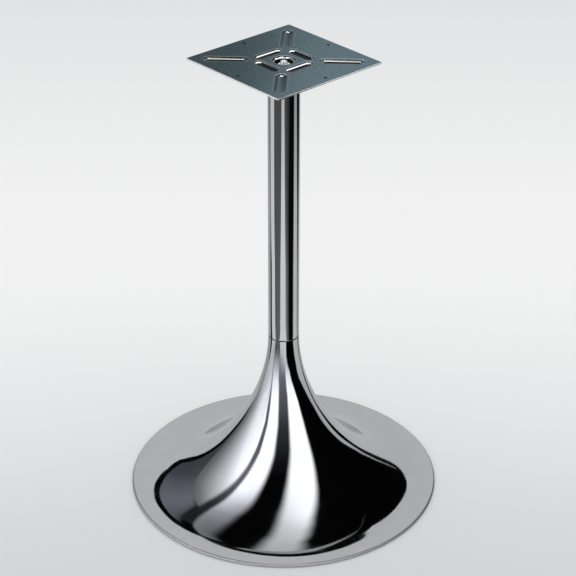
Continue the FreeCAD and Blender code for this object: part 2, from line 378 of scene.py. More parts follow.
def zincPlated():
    # Cloudy blue-grey plating with a fine rolled grain, with painted shade: lighter towards the corner on
    # the camera's right and darker towards the one on its left. A painted highlight rings the sheet where it
    # leads into a pressing, and painted shade darkens the lip; the walls below get a painted highlight and
    # are smoother, and the shears leave the upper part of the cut edge bright and the torn lower part dull.
    material, shader, place = startMaterial("zincPlated")
    s = zinc
    depth = mathNode("SUBTRACT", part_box("top_plate")[1].z, axesOf(place)[2])
    cutEdge, dull, bore, paintedSideShade = [mark(place, name) for name in ("cutEdge", "dull", "bore", "paintedSideShade")]
    side = addNode(place, "VectorMath", {0: place, 1: s["right"]}, operation="DOT_PRODUCT").outputs["Value"]
    clouds = noise(place, s["cloudScale"], 5, 0.6)
    grain = noise(place, s["grainScale"], 3, 0.6, s["grainStretch"])
    speckle = noise(place, s["speckleScale"], 2, 0.5)
    wave = noise(place, s["sheetWaveScale"], 1, 0.3)
    # Zones by depth
    pressed = remap(depth, s["wallStart"], blend="SMOOTHSTEP")
    floor = remap(depth, s["floorStart"], blend="SMOOTHSTEP")
    # Painted highlight: a pale ring where the flat sheet leads into each pressing.
    paintedHalo = times(remap(depth, s["haloStart"]), remap(depth, s["haloEnd"], (1, 0)))
    # Painted shade: a dark band over each pressing's lip, weaker where the walls are dull.
    paintedLipShade = times(remap(depth, s["lipShadeStart"]), opposite(pressed))
    paintedLipShade = times(paintedLipShade, remap(dull, (0, 1), s["lipShadeShare"]))
    # Painted highlight: pale colour on the pressed walls, mostly left off the floors and the dull walls;
    # these walls are also smoother.
    paintedWallHighlight = times(pressed, opposite(times(floor, s["floorHighlightCut"])))
    paintedWallHighlight = times(paintedWallHighlight, remap(dull, (0, 1), (1, s["dullHighlightShare"])))
    shorn = times(cutEdge, remap(depth, s["shearEnd"], (1, 0)))
    # Painted shade in the hollows: near black on the bead floors outside the dull parts, deep in the cup,
    # and in the screw bores.
    hollowShade = larger(times(floor, opposite(dull)), remap(depth, s["hollowShadeStart"]))
    hollowShade = larger(hollowShade, bore)
    # Painted shade: the dull walls darkened from below the lip down to the floor.
    paintedWallShade = times(times(dull, remap(depth, s["wallShadeStart"])), opposite(floor))
    # Colours, each zone over those before it
    # Painted shade: the plate darker towards the camera's left and lighter towards its right.
    colour = mixColour(remap(side, s["fade"], blend="SMOOTHSTEP"), s["dark"], s["light"])
    for zone, over, blend in (
            (remap(clouds, (0.35, 0.68)), tone(s["cloud"]), "MULTIPLY"),
            (remap(speckle, (0.58, 0.75), (0, s["speckleShare"])), s["wall"], "MIX"),
            (times(paintedHalo, s["haloShare"]), s["wall"], "MIX"),
            (paintedWallShade, tone(s["paintedWallShade"]), "MULTIPLY"),
            # painted shade across two beads' hollows, darker towards the camera's right
            (times(pressed, paintedSideShade), tone(s["paintedSideShade"]), "MULTIPLY"),
            (paintedLipShade, tone(s["lipShadeTone"]), "MIX"),
            (paintedWallHighlight, s["wall"], "MIX"),
            (hollowShade, tone(s["hollowShadeTone"]), "MIX"),
            (shorn, s["cutEdge"], "MIX")):
        colour = mixColour(zone, colour, over, blend)
    gloss = remap(clouds, (0.3, 0.7), s["gloss"])
    gloss = mathNode("ADD", gloss, remap(grain, (0.35, 0.65), s["grainGloss"]))
    gloss = mixNumber(paintedWallHighlight, gloss, s["wallGloss"])
    normal = bump(grain, s["grainDepth"], bump(wave, s["sheetWaveDepth"]))
    edgeOn = mixColour(larger(paintedWallHighlight, shorn), s["edgeOn"], tone(1))
    feed(shader, "Specular Tint", edgeOn)
    dress(shader, colour, gloss, normal)
    return material


fastener = dict(colour=(0.90, 0.93, 0.94), patch=(0.66, 0.70, 0.73), patchScale=160, patchSpan=(0.35, 0.7),
                gloss=(0.16, 0.30), glossFrom="patches", grainScale=420, grainDetail=3,
                grainStretch=(1, 1, 9), grainDepth=0.00001)


def patchyMetal(name, look):
    # Patches of a second colour, and a fine grain squeezed along its stretch.
    material, shader, place = startMaterial(name)
    patches = noise(place, look["patchScale"], 4, 0.6)
    grain = noise(place, look["grainScale"], look["grainDetail"], 0.6, look["grainStretch"])
    colour = mixColour(remap(patches, look["patchSpan"]), look["colour"], look["patch"])
    gloss = remap(patches if look["glossFrom"] == "patches" else grain, (0.3, 0.7), look["gloss"])
    dress(shader, colour, gloss, bump(grain, look["grainDepth"]))
    return material


zincFinish = zincPlated()
fastenerFinish = patchyMetal("zincFastener", fastener)


# Top plate, pressed from sheet

plate = dict(sheet=2.5, cornerRadius=2.5, cornerSteps=7, leastCorner=0.3, edgeRound=0.4, edgeSteps=5,
             pressRadius=1.0, leadAngle=12, leadSteps=6, lipSteps=10, floorSteps=10, ringSteps=64,
             beadWidth=16, beadDepth=4, beadWall=70, beadRound=3.5, nestReach=32.6, nestLength=50,
             nestLead=2.4, cornerStart=51.7, cornerEnd=116.9, cornerLead=4.5,
             cupLip=17.015, cupLead=3.0, cupDepth=16, cupWall=86, cupRound=3.5, cupSteps=96, rodHole=5.5,
             screwHole=2.5, screwReach=87.5, screwSteps=32, holeRound=0.35, holeSteps=4,
             flatRing=0.3, fillStep=9, fillMargin=2.5, cutBand=0.25,
             tipAngle=16, tipFade=8, sideEnds=(80, 180), sideShadeFade=3, sideShadeStart=0.3)


def pressedSection(lip, lead, depth, wallAngle, lipRound, face):
    # From the flat sheet down to the floor: a wide arc leads in, a tighter one goes over the lip, then a
    # straight wall and an arc into the floor, each starting square to the last one's end.
    # Both faces of the sheet bend about the same centres, so the sheet keeps its thickness.
    floorRound, ease, wall = plate["pressRadius"], radians(plate["leadAngle"]), radians(wallAngle)
    leadRound = lead / np.sin(ease)
    lipAt = np.array([lip + lipRound * np.sin(ease), -leadRound + (leadRound - lipRound) * np.cos(ease)])
    floorHeight = floorRound - depth
    straight = (lipAt[1] - floorHeight + (lipRound + floorRound) * np.cos(wall)) / np.sin(wall)
    floorAt = (lipAt[0] - (lipRound + floorRound) * np.sin(wall) - straight * np.cos(wall), floorHeight)
    under = 0 if face == "top" else plate["sheet"]
    leadEnd = 90 + plate["leadAngle"]
    return np.concatenate([
        [(lip + lead + plate["flatRing"], -under)],
        arcPoints((lip + lead, -leadRound), leadRound - under, 90, leadEnd, plate["leadSteps"])[:-1],
        arcPoints(lipAt, lipRound - under, leadEnd, 90 + wallAngle, plate["lipSteps"]),
        arcPoints(floorAt, floorRound + under, wallAngle - 90, -90, plate["floorSteps"])])


def holeSection(hole, top):
    # Down through the sheet: a rounded edge, the wall, a rounded edge.
    rim, steps, under = plate["holeRound"], plate["holeSteps"], top - plate["sheet"]
    flat = hole + rim + plate["flatRing"]
    return np.concatenate([[(flat, top)], arcPoints((hole + rim, top - rim), rim, 90, 180, steps),
                           arcPoints((hole + rim, under + rim), rim, 180, 270, steps), [(flat, under)]])


def ringed(section, centre, axis, half, steps):
    # A section carried round a slot: each point is the nearer end of the centre line plus its reach out.
    angle = (np.arange(steps) + 0.5) * 2 * pi / steps
    ends = centre + half * np.sign(np.cos(angle))[:, None] * axis
    outwards = np.cos(angle)[:, None] * axis + np.sin(angle)[:, None] * sideways(axis)
    flat = ends + section[:, 0][:, None, None] * outwards
    height = np.broadcast_to(section[:, 1][:, None, None], flat.shape[:2] + (1,))
    return np.concatenate([flat, height], -1)


def beadPlace(points, centre, axis, half):
    # How far points lie past the straight part of a bead, across from its centre line, and from that line.
    along = np.abs((points - centre) @ axis) - half
    across = np.abs((points - centre) @ sideways(axis))
    return along, across, np.hypot(np.maximum(along, 0), across)


def roundedSquare(half, radius, steps):
    # Outline of the plate: four quarter arcs about the corner centres, in order.
    arcs = [arcPoints((x * (half - radius), y * (half - radius)), radius, turn, turn + 90, steps)
            for x, y, turn in ((1, 1, 0), (-1, 1, 90), (-1, -1, 180), (1, -1, 270))]
    return np.concatenate(arcs)


def flatFill(loops, insideTest, height, upwards):
    # Triangles over the flat of the sheet, between the loops and a plain lattice, without the hollows.
    reach = np.abs(loops[0]).max()
    lattice = np.arange(-reach + plate["fillStep"], reach - 1, plate["fillStep"])
    extra = np.stack(np.meshgrid(lattice, lattice), -1).reshape(-1, 2)
    extra = extra[~insideTest(extra, plate["fillMargin"])]
    points = np.concatenate(loops + [extra])
    starts = np.cumsum([0] + [len(loop) for loop in loops])
    rounds = [np.arange(len(loop)) + start for loop, start in zip(loops, starts)]
    edges = np.concatenate([np.column_stack([numbers, np.roll(numbers, -1)]) for numbers in rounds])
    filled = delaunay_2d_cdt([Vector(p) for p in points.tolist()], edges.tolist(), [], 0, 1e-5)
    flat = np.array([tuple(p) for p in filled[0]])
    faces = np.array(filled[2])
    faces = faces[~insideTest(flat[faces].mean(1), -1e-3)]
    a, b, c = flat[faces[:, 0]], flat[faces[:, 1]], flat[faces[:, 2]]
    turn = (b[:, 0] - a[:, 0]) * (c[:, 1] - a[:, 1]) - (b[:, 1] - a[:, 1]) * (c[:, 0] - a[:, 0])
    wrong = (turn > 0) != upwards
    faces[wrong] = faces[wrong][:, ::-1]
    return np.column_stack([flat, np.full(len(flat), height)]), faces


def buildPlate():
    s = plate
    half, _, top = extent("top_plate")
    lip, gap = s["beadWidth"] / 2, s["flatRing"]
    beads = []  # centre, axis and half length of each bead's centre line, and the width of its lead-in
    for turn in np.radians((0, 90, 180, 270)):
        out = np.array([np.cos(turn), np.sin(turn)])
        beads.append((out * s["nestReach"], sideways(out), s["nestLength"] / 2 - lip, s["nestLead"]))
        diagonal = np.array([np.cos(turn + pi / 4), np.sin(turn + pi / 4)])
        beads.append((diagonal * (s["cornerStart"] + s["cornerEnd"]) / 2, diagonal,
                      (s["cornerEnd"] - s["cornerStart"]) / 2 - lip, s["cornerLead"]))
    screws = [s["screwReach"] * np.array(side) for side in ((1, 0), (0, 1), (-1, 0), (0, -1))]
    still = np.array([1.0, 0.0])
    parts, topLoops, underLoops = [], [], []

    def addRings(section, centre, axis, halfLength, steps, upper=True, lower=True):
        rings = ringed(section, centre, axis, halfLength, steps)
        parts.append((rings.reshape(-1, 3), gridFaces(len(section), steps, False, True)[:, ::-1]))
        if upper:
            topLoops.append(rings[0, :, :2])
        if lower:
            underLoops.append(rings[-1, :, :2])

    # Plate edge: the outline stepped round the sheared corners of the sheet, top to bottom.
    r = s["edgeRound"]
    arc = arcPoints((0, 0), r, 90, 0, s["edgeSteps"])
    upperSteps = np.concatenate([[(r + gap, 0)], np.column_stack([r - arc[:, 0], arc[:, 1] - r])])
    lowerSteps = np.column_stack([upperSteps[::-1, 0], -s["sheet"] - upperSteps[::-1, 1]])
    outline = []
    for inset, z in np.concatenate([upperSteps, lowerSteps]):
        corner = max(s["cornerRadius"] - inset, s["leastCorner"])
        square = roundedSquare(half - inset, corner, s["cornerSteps"])
        outline.append(np.column_stack([square, np.full(len(square), z)]))
    outline = np.stack(outline)
    parts.append((outline.reshape(-1, 3), gridFaces(len(outline), outline.shape[1], False, True)))
    topLoops.append(outline[0, :, :2])
    underLoops.append(outline[-1, :, :2])

    # Beads: top face down to the centre line, and the underside the other way round.
    for centre, axis, halfLength, lead in beads:
        for face in ("top", "under"):
            section = pressedSection(lip, lead, s["beadDepth"], s["beadWall"], s["beadRound"], face)
            section = np.concatenate([section, section[-1] * [(0.5, 1), (0, 1)]])
            section = section if face == "top" else section[::-1]
            addRings(section, centre, axis, halfLength, s["ringSteps"], face == "top", face == "under")

    # Cup: down the top face, through the rod hole, and back along the underside.
    down, back = [pressedSection(s["cupLip"], s["cupLead"], s["cupDepth"], s["cupWall"], s["cupRound"], face)
                  for face in ("top", "under")]
    section = np.concatenate([down, holeSection(s["rodHole"], -s["cupDepth"]), back[::-1]])
    addRings(section, np.zeros(2), still, 0, s["cupSteps"])
    for screw in screws:
        addRings(holeSection(s["screwHole"], 0), screw, still, 0, s["screwSteps"])

    def hollow(points, margin):
        # True inside a bead, the cup or a screw hole, each grown by the margin.
        found = np.hypot(points[:, 0], points[:, 1]) < s["cupLip"] + s["cupLead"] + gap + margin
        for screw in screws:
            found |= np.hypot(*(points - screw).T) < s["screwHole"] + s["holeRound"] + gap + margin
        for *bead, lead in beads:
            found |= beadPlace(points, *bead)[2] < lip + lead + gap + margin
        return found

    parts.append(flatFill(topLoops, hollow, 0, True))
    parts.append(flatFill(underLoops, hollow, -s["sheet"], False))
    points, faces = joined(*parts)
    piece = makePiece("topPlate", (points + (0, 0, top), faces), zincFinish, "top_plate")
    spots = np.empty(len(piece.data.vertices) * 3, np.float32)
    piece.data.vertices.foreach_get("co", spots)
    spots = spots.reshape(-1, 3)[:, :2] / mm
    # Cut edge: points whose reach past the corner centres is nearly the corner radius.
    past = np.maximum(np.abs(spots) - half + s["cornerRadius"], 0)
    markPoints(piece.data, "cutEdge", np.hypot(*past.T) > s["cornerRadius"] - s["cutBand"])
    # Dull: a corner bead keeps the painted highlight on its walls only at the tips of its round ends, within
    # an angle of the axis, and the beads on the second and fourth corner do not keep it on their long sides
    # either;
    # the dull rest gets painted shade instead.
    # Side shade: painted shade over one side of those two beads' hollows, the camera's right, by the
    # distance towards that side.
    dull, paintedSideShade = np.zeros((2, len(spots)))
    for number, (centre, axis, halfLength, lead) in enumerate(beads[1::2]):
        along, across, reach = beadPlace(spots, centre, axis, halfLength)
        turn = np.degrees(np.arctan2(across, along))
        turn[np.hypot(along, across) < lip / 2] = 90
        near = (reach < lip + lead + gap) & (along > -1)
        sideEnd = s["sideEnds"][number % 2]
        rise, fall = turn[near] - s["tipAngle"], sideEnd - turn[near]
        dull[near] = np.clip(np.minimum(rise, fall) / s["tipFade"], 0, 1)
        if number % 2 == 1:
            inBead = reach < lip
            across = (spots[inBead] - centre) @ zinc["right"][:2]
            paintedSideShade[inBead] = np.clip(across / s["sideShadeFade"] + s["sideShadeStart"], 0, 1)
    markPoints(piece.data, "dull", dull)
    markPoints(piece.data, "paintedSideShade", paintedSideShade)
    # Bore: points on the wall of a screw hole, painted dark as shade there.
    fromScrew = np.min([np.hypot(*(spots - screw).T) for screw in screws], axis=0)
    markPoints(piece.data, "bore", fromScrew < s["screwHole"] + s["holeRound"] / 2)


buildPlate()
print("plate built")


# Tie rod with rolled threads at both ends

rod = dict(pitch=1.5, threadDepth=0.92, ridgeGain=1.3, ridgeCut=0.15, topThread=45, bottomThread=62,
           chamfer=1.0, sharpAngle=60, turns=48, rowsPerPitch=10)


def buildRod():
    s = rod
    radius, bottom, top = extent("tie_rod")
    step = s["pitch"] / s["rowsPerPitch"]
    lowRows = np.arange(bottom, bottom + s["bottomThread"], step)
    highRows = np.arange(top - s["topThread"], top, step)
    heights = np.concatenate([lowRows, highRows, [top]])[:, None]
    angle = fullTurn(s["turns"])
    # Thread: one ridge for each pitch of height, moved on by the angle; crest and root are cut flat.
    phase = (heights / s["pitch"] - angle / (2 * pi)) % 1
    ridge = np.clip((1 - np.abs(2 * phase - 1)) * s["ridgeGain"] - s["ridgeCut"], 0, 1)
    inThread = np.maximum(bottom + s["bottomThread"] - heights, heights - top + s["topThread"])
    reach = radius - s["threadDepth"] * (1 - ridge) * np.clip(inThread / s["pitch"], 0, 1)
    # Both ends are turned down at 45 degrees.
    reach = np.minimum(reach, radius - s["chamfer"] + np.minimum(top - heights, heights - bottom))
    caps = [np.broadcast_to((0.0, 0.0, z), (1, s["turns"], 3)) for z in (top, bottom)]
    rows = np.concatenate([caps[0], spun(reach, heights, angle)[::-1], caps[1]])
    faces = gridFaces(len(rows), s["turns"], False, True)
    shape = rows.reshape(-1, 3), faces
    makePiece("tieRod", shape, fastenerFinish, "tie_rod", s["sharpAngle"])


buildRod()


# Hexagon nuts

nut = dict(chamferAngle=30, chamferCircle=8.2, boreEdge=0.7, sharpAngle=25, steps=144)


def buildNut(node):
    s = nut
    _, bottom, top = extent(node)
    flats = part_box(node)[1].y / mm  # corners lie on X, flats on Y
    bore = extent("tie_rod")[0]
    angle = fullTurn(s["steps"])
    # Hexagon: half the width across flats over the cosine of the angle from the nearest flat.
    side = flats / np.cos(angle % (pi / 3) - pi / 6)
    drop = np.maximum(side - s["chamferCircle"], 0) * tan(radians(s["chamferAngle"]))
    lead, circle = s["boreEdge"], s["chamferCircle"]
    rows = [(bore, bottom + lead), (bore, top - lead), (bore + lead, top), (circle, top),
            (side, top - drop), (side, bottom + drop), (circle, bottom), (bore + lead, bottom)]
    points = np.stack([spun(radius, height, angle) for radius, height in rows])
    faces = gridFaces(len(rows), s["steps"], True, True)
    shape = points.reshape(-1, 3), faces
    makePiece(node.replace("_n", "N"), shape, fastenerFinish, node, s["sharpAngle"])


# Washers, stamped: rounded on the upper face, square below

washer = dict(upperEdge=0.7, upperSteps=6, lowerEdge=0.2, lowerSteps=3, boreEase=0.25, faceRow=0.2,
              turns=96)


def buildWasher(node):
    s = washer
    outer, bottom, top = extent(node)
    bore = plate["rodHole"] - s["boreEase"]
    up, down, steps = s["upperEdge"], s["lowerEdge"], s["lowerSteps"]
    profile = np.concatenate([
        [(bore + down, top), (outer - up - s["faceRow"], top)],
        arcPoints((outer - up, top - up), up, 90, 0, s["upperSteps"]),
        arcPoints((outer - down, bottom + down), down, 0, -90, steps),
        arcPoints((bore + down, bottom + down), down, -90, -180, steps),
        arcPoints((bore + down, top - down), down, 180, 90, steps)[:-1]])
    shape = turned(profile, s["turns"])
    makePiece(node.replace("_w", "W"), shape, fastenerFinish, node)


for place in ("top", "lock", "bottom"):
    buildNut(place + "_nut")
    buildWasher(place + "_washer")
print("rod, nuts and washers built")


# Neck spigot, drawn tube turned a little smaller where it enters the trumpet

# Its steel is oiled, with streaks along its length and a few stains.
spigot = dict(wall=3.0, chamfer=1.0, ease=0.1, easeRun=0.5, turns=96, colour=(0.40, 0.40, 0.41),
              patch=(0.26, 0.25, 0.24), patchScale=60, patchSpan=(0.5, 0.7), gloss=(0.3, 0.5),
              glossFrom="grain", grainScale=90, grainDetail=4, grainStretch=(12, 12, 1), grainDepth=0.00003)


def buildSpigot():
    s = spigot
    radius, bottom, top = extent("neck_spigot")
    joint = extent("column_tube")[1]
    eased, bore = radius - s["ease"], radius - s["wall"]
    bevel = s["chamfer"]
    profile = np.array([(radius - bevel, top), (radius, top - bevel), (radius, joint + s["easeRun"]),
                        (eased, joint), (eased, bottom + bevel), (eased - bevel, bottom),
                        (bore, bottom), (bore, top)])
    steel = patchyMetal("plainSteel", spigot)
    makePiece("neckSpigot", turned(profile, s["turns"]), steel, "neck_spigot")


buildSpigot()
print("spigot built")


# Finishes for the pieces that keep their CAD shape

ballast = dict(colour=(0.055, 0.055, 0.06), rust=(0.10, 0.06, 0.04), rustShare=0.7, rustScale=17,
               pit=(0.02, 0.02, 0.022), pitShare=0.5, gloss=(0.62, 0.85), metallic=0.35,
               grainScale=520, grainDepth=0.0006, lumpScale=38, lumpDepth=0.0015)
glide = dict(colour=(0.03, 0.03, 0.032), scuff=(0.09, 0.09, 0.09), scuffHeight=0.0006, scratchScale=260,
             scratchStretch=(1, 9, 1), gloss=(0.38, 0.6), sparkScale=1400, sparkDepth=0.00004)


def castIron():
    # Sand-cast skin: coarse dark-pitted grain over soft lumps, with a little rust in patches.
    material, shader, place = startMaterial("castIron")
    grain = noise(place, ballast["grainScale"], 5, 0.65)
    lumps = noise(place, ballast["lumpScale"], 3, 0.5)
    rust = noise(place, ballast["rustScale"], 4, 0.6)
    rust = remap(rust, (0.52, 0.7), (0, ballast["rustShare"]))
    colour = mixColour(rust, ballast["colour"], ballast["rust"])
    pits = remap(grain, (0.35, 0.7), (0, ballast["pitShare"]))
    colour = mixColour(pits, colour, ballast["pit"])
    gloss = remap(grain, (0.3, 0.7), ballast["gloss"])
    normal = bump(grain, ballast["grainDepth"], bump(lumps, ballast["lumpDepth"]))
    dress(shader, colour, gloss, normal, ballast["metallic"])
    return material


def glidePlastic():
    # Moulded plastic: a fine spark texture, scuffed paler on the face that slides.
    material, shader, place = startMaterial("glidePlastic")
    spark = noise(place, glide["sparkScale"], 2, 0.5)
    scratches = noise(place, glide["scratchScale"], 4, 0.6, glide["scratchStretch"])
    face = remap(axesOf(place)[2], (0, glide["scuffHeight"]), (1, 0))
    scuff = times(face, remap(scratches, (0.42, 0.7)))
    colour = mixColour(scuff, glide["colour"], glide["scuff"])
    gloss = remap(spark, (0.3, 0.7), glide["gloss"])
    dress(shader, colour, gloss, bump(spark, glide["sparkDepth"]), 0)
    return material


def finishNodes(names, material):
    for name in names:
        for slot in bpy.data.objects[name].material_slots:
            slot.material = material


finishNodes(["ballast_casting"], castIron())
finishNodes(["floor_glide_1", "floor_glide_2", "floor_glide_3", "floor_glide_4"], glidePlastic())
print("finishes on the CAD pieces set")


# Camera

view = dict(azimuth=48.0634, back=2.535869, height=1.764218, pitch=29.16607, yaw=-0.1487, roll=0.12409,
            lens=118.037, sensor=36, farthest=100)


def turnedBy(angle, axis):
    return Matrix.Rotation(radians(angle), 4, axis)


def placeCamera():
    # Stands back from the axis at its azimuth and looks down by the pitch, with small turns to frame it.
    lens = bpy.data.cameras.new("camera")
    lens.lens = view["lens"]
    lens.sensor_width = view["sensor"]
    lens.clip_end = view["farthest"]
    camera = placeObject("camera", lens)
    spot = turnedBy(view["azimuth"], "Z") @ Vector((0, -view["back"], view["height"]))
    camera.matrix_world = (Matrix.Translation(spot) @ turnedBy(view["azimuth"] + view["yaw"], "Z")
                           @ turnedBy(90 - view["pitch"], "X") @ turnedBy(view["roll"], "Z"))
    scene.camera = camera


placeCamera()


# Studio: a pale floor, even light, and cards round the object for the chrome to reflect.
# Bearings are in degrees: 0 is away from the camera, 90 to its right, 180 towards it.

studio = dict(evenLight=1.0, darkRoom=0.0015, horizon=(0.70, 0.725, 0.74), cardDistance=20,
              cardTint=(0.985, 0.997, 1.025), cardSoft=[(0.02, 0.02)], alongSteps=4, acrossSteps=8)


def towards(bearing, elevation):
    # Unit direction: cosine of the elevation shared between right and away, sine of it upwards.
    bearing, elevation = np.radians(bearing), np.radians(elevation)
    right, away = np.cos(elevation) * np.sin(bearing), np.cos(elevation) * np.cos(bearing)
    turn = radians(view["azimuth"])
    return np.stack([np.cos(turn) * right - np.sin(turn) * away,
                     np.sin(turn) * right + np.cos(turn) * away, np.sin(elevation)], -1)


def cardFinish(name, tint, oneSided):
    # Glows by the point's own number; both long edges fade out over their own softness.
    material = bpy.data.materials.new(name)
    tree = freshTree(material)
    glow, across, softA, softB = [mark(tree, key) for key in ("glow", "across", "softA", "softB")]
    edgeA = remap(across, (0, softA), blend="SMOOTHSTEP")
    edgeB = remap(opposite(across), (0, softB), blend="SMOOTHSTEP")
    solid = times(edgeA, edgeB)
    if oneSided:
        solid = times(solid, opposite(addNode(tree, "NewGeometry").outputs["Backfacing"]))
    light = addNode(tree, "Emission", {"Color": (*tint, 1), "Strength": glow}).outputs[0]
    clear = addNode(tree, "BsdfTransparent").outputs[0]
    addNode(tree, "OutputMaterial", {"Surface": mixShader(solid, clear, light)})
    return material


def finer(values):
    # Values at each station's lines, spread evenly along the stations and, from two lines, across them.
    station = np.linspace(0, len(values) - 1, (len(values) - 1) * studio["alongSteps"] + 1)
    before = np.minimum(station.astype(int), len(values) - 2)
    share = (station - before)[:, None, None]
    lines = values[before] * (1 - share) + values[before + 1] * share
    if lines.shape[1] > 2:
        return lines
    across = np.linspace(0, 1, studio["acrossSteps"] + 1)[:, None]
    return lines[:, :1] * (1 - across) + lines[:, 1:] * across


def makeCard(name, card, edges, glow, soft, oneSided=False):
    # A band between two lines of points; only reflections see it, so it neither shows nor shades.
    # Softness of each edge runs evenly from the first station's pair to the last one's.
    points = finer(edges)
    rows, columns = points.shape[:2]
    mesh = bpy.data.meshes.new(name)
    mesh.from_pydata(points.reshape(-1, 3).tolist(), [], gridFaces(rows, columns).tolist())
    markPoints(mesh, "glow", finer(glow[..., None]))
    markPoints(mesh, "across", np.tile(np.linspace(0, 1, columns), (rows, 1)))
    for side, key in enumerate(("softA", "softB")):
        markPoints(mesh, key, np.repeat(np.linspace(soft[0][side], soft[-1][side], rows), columns))
    mesh.materials.append(cardFinish(name, card.get("tint", studio["cardTint"]), oneSided))
    item = placeObject(name, mesh)
    item.visible_camera = item.visible_diffuse = item.visible_shadow = False


